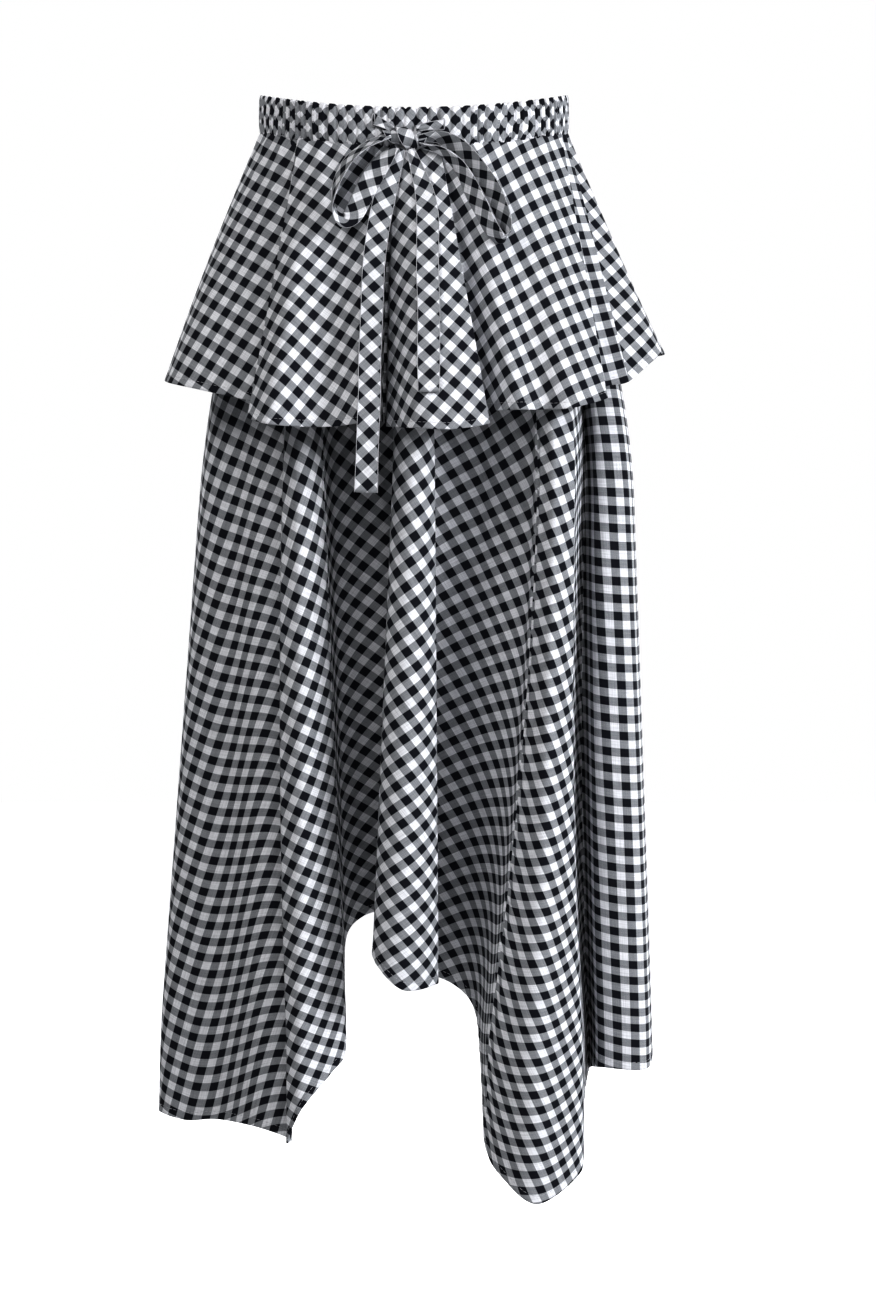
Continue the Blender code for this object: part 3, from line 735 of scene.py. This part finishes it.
def waistband(mat):
    """The ruched casing: a rounded upright profile carried round the waist from the back.

    Pleats are a phase that gains a turn for each pleat's width, uneven and narrower at the
    sides, and sways up the height.  A pleat is broad and round outside, with a narrow
    groove, and more cloth goes into the groove: there the flat place runs ahead by a sine
    of the phase.  Both edges are scalloped.
    """
    cols, side_rows = 1500, 18
    a = np.pi + np.linspace(0, 2 * np.pi, cols + 1)[:, None]
    angle = np.degrees(a)
    f = 0.5 - 0.5 * np.cos(np.pi * np.arange(side_rows + 1) / side_rows)
    f = np.concatenate([f, f[-2:0:-1]])[None]
    outside = np.where(np.arange(2 * side_rows) <= side_rows, 1.0, -1.0)[None]
    sides = np.sin(a) ** 2
    wall = outside * BAND_WALL / 2 * np.sqrt(np.maximum(1 - (2 * f - 1) ** 8, 0))
    run = length_along(np.column_stack([waist_point(angle[:, 0], 2.0), 0 * a[:, 0]]))
    uneven = 1 + 0.20 * np.sin(9 * a) + 0.16 * np.sin(23 * a + 2) + 0.10 * np.sin(41 * a)
    count = np.diff(run) / ((PLEAT - SIDE_PLEAT * sides) * uneven)[1:, 0]
    turn = np.concatenate([[0], np.cumsum(count)])[:, None]
    turn = turn * (2 * np.pi * round(turn[-1, 0]) / turn[-1, 0])
    turn = turn + 0.9 * np.sin(2.6 * f + 4 * a) + 0.6 * np.sin(5 * f + 11 * a)
    groove = (0.5 + 0.5 * np.cos(turn)) ** 4
    deep = (1.9 + 1.2 * sides) * (1 + 0.40 * np.sin(7 * a + 1) + 0.30 * np.sin(19 * a))
    deep = deep * (0.8 + 0.3 * (2 * f - 1) ** 2)
    bulge = 0.5 * np.sin(np.pi * f) + 0.5
    grow = wall + bulge - deep * groove * np.where(outside > 0, 1.0, 0.4)
    rim = (0.5 - (1.4 + 0.6 * sides) * groove) * (2 * f - 1) ** 5
    z = seam_z(angle) + 2 * BAND_HALF * f + rim
    rings = np.stack([(WAIST_X + grow) * np.sin(a), -(WAIST_Y + grow) * np.cos(a), z], -1)
    drawn = np.concatenate([[0], np.cumsum(np.diff(run) * (1.26 + 0.34 * sides[1:, 0]))])
    up = length_along(np.vstack([rings[0], rings[0][:1]]))
    u, v = np.meshgrid(drawn, up, indexing="ij")
    hidden = (0.7 + 1.4 * sides) * np.sin(turn) + 0.5 * np.sin(2 * turn + 3 * a)
    u = u + np.concatenate([hidden, hidden[:, :1]], 1)
    return dress(sweep("waistband", rings[:-1], bias(u, v), mat, closed=True), ["waistband"])


def smooth_path(points, per):
    """Open cubic through the rows of a short table."""
    p = np.array(points, float)
    p = np.vstack([2 * p[0] - p[1], p, 2 * p[-1] - p[-2]])
    i = np.arange(1, len(p) - 2).repeat(per)[:, None]
    f = np.tile(np.arange(per) / per, len(p) - 3)[:, None]
    q0, q1, q2, q3 = (p[(i + k)[:, 0]] for k in (-1, 0, 1, 2))
    out = 0.5 * (2 * q1 + (q2 - q0) * f + (2 * q0 - 5 * q1 + 4 * q2 - q3) * f * f
                 + (3 * q1 - q0 - 3 * q2 + q3) * f**3)
    return np.vstack([out, p[-2]])


def strap(name, node, centre, across, half, mats, seed=0.0, full=HALF_STRAP):
    """The tie: two layers pressed flat, a thin profile carried along a line.

    Where it is drawn narrower than its full half width, the cloth stands in pleats along
    its length, and part of its width is tucked away.  Elsewhere it waves a little.  A pale
    thread along both edges is a painted highlight, the light that the pressed edges catch.
    Mats are the cloth and the pale thread of that painted highlight.
    """
    cotton, edge_highlight_paint = mats
    rows = 14
    f = 0.5 - 0.5 * np.cos(np.pi * np.arange(rows + 1) / rows)
    f = np.concatenate([f, f[-2:0:-1]])[None]
    front = np.where(np.arange(2 * rows) <= rows, 1.0, -1.0)[None]
    along = unit(np.gradient(centre, axis=0))
    out = unit(np.cross(along, across))
    run = length_along(centre)[:, None]
    narrow = np.clip(1 - half / full, 0, 1)[:, None]
    wall = front * (STRAP / 2) * np.sqrt(np.maximum(1 - (2 * f - 1) ** 8, 0))
    pleat = narrow * 1.2 * np.sin(2 * np.pi * 1.5 * f + 0.8 + seed)
    wave = 0.25 * np.sin(run / 6.5 + 3 * f + seed) + 0.3 * np.sin(run / 17 + seed * 2)
    lift = wall * (1 + 0.5 * narrow) + pleat + wave * (1 - narrow)
    reach = (2 * f - 1) * half[:, None]
    rings = centre[:, None] + across[:, None] * reach[..., None] + out[:, None] * lift[..., None]
    shown = half + TUCKED * (full - half)
    v = full + (2 * np.concatenate([f, f[:, :1]], 1) - 1) * shown[:, None]
    v[:, rows + 1:] = 4 * full - v[:, rows + 1:]
    u = run + 0 * v
    # pale threads on both edges: painted highlight of the pressed edges
    edges = [paint_edge_highlight(name + "_edge_" + side, rings[:, row] + out * 0.15, edge_highlight_paint)
             for side, row in (("a", 1), ("b", rows - 1))]
    ob = sweep(name, rings, bias(u + 7 * seed, v), cotton)
    dress(ob, [node] if node else [])
    return ob


def paint_edge_highlight(name, line, mat):
    """A pale thread laid along a line, swelling and thinning with each stitch: a painted
    highlight along the strap's pressed edge.
    """
    run = length_along(line)
    at = np.linspace(0, run[-1], int(run[-1] / 0.8) + 2)
    line = np.column_stack([np.interp(at, run, line[:, k]) for k in range(3)])
    fat = 0.24 + 0.12 * np.abs(np.sin(np.pi * at / 2.4))
    tangent = unit(np.gradient(line, axis=0))
    side = unit(np.cross(tangent, (0.13, 0.2, 0.97)))
    other = np.cross(tangent, side)
    t = np.arange(6) * np.pi / 3
    ray = side[:, None] * np.cos(t)[None, :, None] + other[:, None] * np.sin(t)[None, :, None]
    rings = line[:, None] + ray * fat[:, None, None]
    uv = np.zeros((len(rings), 7, 2))
    return dress(sweep(name, rings, uv, mat), [])


def buttonhole(name, x, low, high, mat):
    """Worked edge of the slit the tie comes out of: a thread ring round an upright oval
    with full corners, swelling at each stitch."""
    t = np.linspace(0, 2 * np.pi, 121)[:-1]
    mid, reach = (low + high) / 2, (high - low) / 2
    px = x + 1.3 * np.sign(np.cos(t)) * np.abs(np.cos(t)) ** 0.5
    pz = mid + reach * np.sin(t)
    py = -(WAIST_Y + BUTTONHOLE_OUT) * np.sqrt(1 - (px / WAIST_X) ** 2)
    line = np.column_stack([px, py, pz])
    after = np.roll(line, -1, 0) - np.roll(line, 1, 0)
    forward = np.array([0, -1, 0])
    side = unit(np.cross(unit(after), forward))
    fat = 0.55 + 0.18 * np.sin(30 * t)
    q = np.arange(8) * np.pi / 4
    ray = side[:, None] * np.cos(q)[None, :, None] + forward * np.sin(q)[None, :, None]
    rings = line[:, None] + ray * fat[:, None, None]
    uv = np.zeros((121, 9, 2))
    return dress(sweep(name, rings, uv, mat, closed=True), [])


def loop(name, table, mats, lift, seed):
    """A bow loop standing off the overskirt on the edge of its strap.

    The strap's width points at the viewer, turned aside by the lean, and its back edge keeps
    the lift in front of the cloth behind it.
    """
    p = smooth_path(table, 9)
    x, z, lean, half = p[:, 0], p[:, 1], np.radians(p[:, 2]), p[:, 3]
    d = unit(np.column_stack([np.gradient(x), np.gradient(z)]))
    across = np.column_stack([-d[:, 1] * np.sin(lean), -np.cos(lean), d[:, 0] * np.sin(lean)])
    back = np.column_stack([x, z]) - across[:, [0, 2]] * half[:, None]
    y = np.array([min(front_y(*q, 7), front_y(*e, 3)) for q, e in zip(zip(x, z), back)])
    y = smoothed(y - half * np.cos(lean) - lift, 4)
    return strap(name, name, np.column_stack([x, y, z]), across, half, mats,
                 seed)


def tail(name, table, mats, lift, seed, hang=None, full=HALF_STRAP):
    """A strap end lying down the overskirt, the lift in front of it; below the height hang
    it falls free."""
    p = smooth_path(table, 9)
    x, z, half = p.T
    y = np.array([front_y(*q, 11) for q in zip(x, z)]) - lift
    if hang is not None:
        y[z < hang] = y[z >= hang][-1]
    y = smoothed(y, 4)
    d = unit(np.column_stack([np.gradient(x), np.gradient(z)]))
    across = np.column_stack([-d[:, 1], 0 * x, d[:, 0]])
    return strap(name, name, np.column_stack([x, y, z]), across, half, mats,
                 seed, full)


def smoothed(y, times):
    """A line of values with each point drawn to its neighbours' middle, several times."""
    for _ in range(times):
        y = np.convolve(np.pad(y, 1, mode="edge"), (0.25, 0.5, 0.25), "valid")
    return y


def knot_wraps(mats):
    """Turns of the strap over the knot: each an arch from behind its top to behind its
    bottom, leaning by its slant."""
    back = front_y(*KNOT_AT, 10)
    wraps = []
    for i, (name, x, z, out, high, slant, half) in enumerate(KNOT_WRAPS):
        t = np.radians(np.linspace(-WRAP_TURN, WRAP_TURN, 40))
        centre = np.column_stack([x + slant * np.sin(t), back + 1.0 - out * np.cos(t),
                                  z - high * np.sin(t)])
        along = unit(np.gradient(centre, axis=0))
        outward = unit(np.column_stack([0 * t, -np.cos(t), -np.sin(t)]))
        across = unit(np.cross(outward, along))
        width = half * (0.72 + 0.28 * np.cos(t) ** 2)
        node = name if name == "tie_knot" else None
        wraps.append(strap(name, node, centre, across, width, mats,
                           0.7 + i, half))
    return wraps


# ---- building it -----------------------------------------------------------------------
cloth = gingham("gingham")
# pale thread: real in the hem stitches and buttonholes, and a painted highlight along the tie's
# pressed edges
thread = plain("pale_thread_and_edge_highlight", (0.62, 0.62, 0.65), 0.7)
# each front panel ends and its back panel begins at one fold line
side, skirt_end = index(SKIRT_FOLDS, "side_right"), len(SKIRT_FOLDS)
strip, peplum_end = index(PEPLUM_FOLDS, "strip"), len(PEPLUM_FOLDS)
skirt_front, net_a = skirt_panel("skirt_front", 0, side, SKIRT_COLS[0], cloth)
skirt_back, net_b = skirt_panel("skirt_back", side, skirt_end, SKIRT_COLS[1], cloth)
peplum_front, net_c = peplum_panel("peplum_front", 0, strip, PEPLUM_COLS[0], cloth)
peplum_back, net_d = peplum_panel("peplum_back", strip, peplum_end, PEPLUM_COLS[1], cloth)
band = waistband(cloth)
buttonholes = [buttonhole(*row, thread) for row in BUTTONHOLES]
# each panel's cut: width at the hem, length, and area, in metres
for ob, net, flat, area in ((skirt_front, net_a, (1.50, 0.96), 0.735),
                            (skirt_back, net_b, (1.11, 0.93), 0.546),
                            (peplum_front, net_c, (0.70, 0.28), 0.129),
                            (peplum_back, net_d, (0.82, 0.25), 0.139)):
    sewn = stitches(ob.name.split(".")[0] + "_stitches", net, thread)

# the tie's pale thread is the painted highlight along its pressed edges
tie = (cloth, thread)
knot = knot_wraps(tie)
# each with how far it stands off the cloth behind it, and a seed for its waves
loop("tie_loop_left", LOOP_LEFT, tie, 2.7, 0.3)
loop("tie_loop_right", LOOP_RIGHT, tie, 1.2, 1.1)
tail("tie_tail_left", TAIL_LEFT, tie, 2.6, 2.0, HANG_Z)
tail("tie_tail_right", TAIL_RIGHT, tie, 2.6, 2.9)
tail("tie_lead_left", LEAD_LEFT, tie, 1.6, 0.5, full=5.0)
tail("tie_lead_right", LEAD_RIGHT, tie, 1.6, 1.5, full=5.0)

camera = bpy.data.cameras.new("camera")
camera.lens = CAMERA_LENS
camera_ob = bpy.data.objects.new("camera", camera)
camera_ob.location = CAMERA_AT
camera_ob.rotation_euler = (math.pi / 2, 0, 0)
bpy.context.scene.collection.objects.link(camera_ob)
bpy.context.scene.camera = camera_ob

# the surroundings are seen white, and light the cloth softly and slightly blue
world = bpy.data.worlds.new("studio")
bpy.context.scene.world = world
world.use_nodes = True
tree = world.node_tree
seen = tree.nodes.new("ShaderNodeLightPath").outputs["Is Camera Ray"]
strength = tree.nodes.new("ShaderNodeMapRange")
tree.links.new(seen, strength.inputs[0])
strength.inputs[3].default_value = AMBIENT
strength.inputs[4].default_value = 1.0
tree.links.new(strength.outputs[0], tree.nodes["Background"].inputs[1])
tint = tree.nodes.new("ShaderNodeMix")
tint.data_type = "RGBA"
tree.links.new(seen, tint.inputs[0])
tint.inputs[6].default_value = AMBIENT_TINT
tint.inputs[7].default_value = WHITE
tree.links.new(tint.outputs[2], tree.nodes["Background"].inputs[0])


def softbox(name, place, aim, size, power, colour):
    """A square area light turned to its aim."""
    light = bpy.data.lights.new(name, "AREA")
    light.size, light.energy, light.color = size, power, colour
    ob = bpy.data.objects.new(name, light)
    ob.location = place
    ob.rotation_euler = (Vector(aim) - Vector(place)).to_track_quat("-Z", "Y").to_euler()
    bpy.context.scene.collection.objects.link(ob)


for name, place, aim_z, size, power, colour in SOFTBOXES:
    softbox(name, place, (0, 0, aim_z), size, power, colour)
bpy.context.scene.view_settings.view_transform = "Standard"
bpy.context.scene.view_settings.gamma = GAMMA

# the floor shines to the camera alone, so that it is seen pale and even
floor = bpy.data.meshes.new("floor")
corners = [(x * FLOOR_HALF, y * FLOOR_HALF, FLOOR_Z)
           for x, y in ((-1, -1), (1, -1), (1, 1), (-1, 1))]
floor.from_pydata(corners, [], [(0, 1, 2, 3)])
floor_ob = bpy.data.objects.new("floor", floor)
floor_paint = plain("floor_paint", (0.85, 0.85, 0.85), 0.9)
glow = floor_paint.node_tree.nodes.new("ShaderNodeLightPath").outputs["Is Camera Ray"]
paint = floor_paint.node_tree.nodes["Principled BSDF"].inputs
paint["Emission Color"].default_value = WHITE
floor_paint.node_tree.links.new(glow, paint["Emission Strength"])
floor.materials.append(floor_paint)
bpy.context.scene.collection.objects.link(floor_ob)
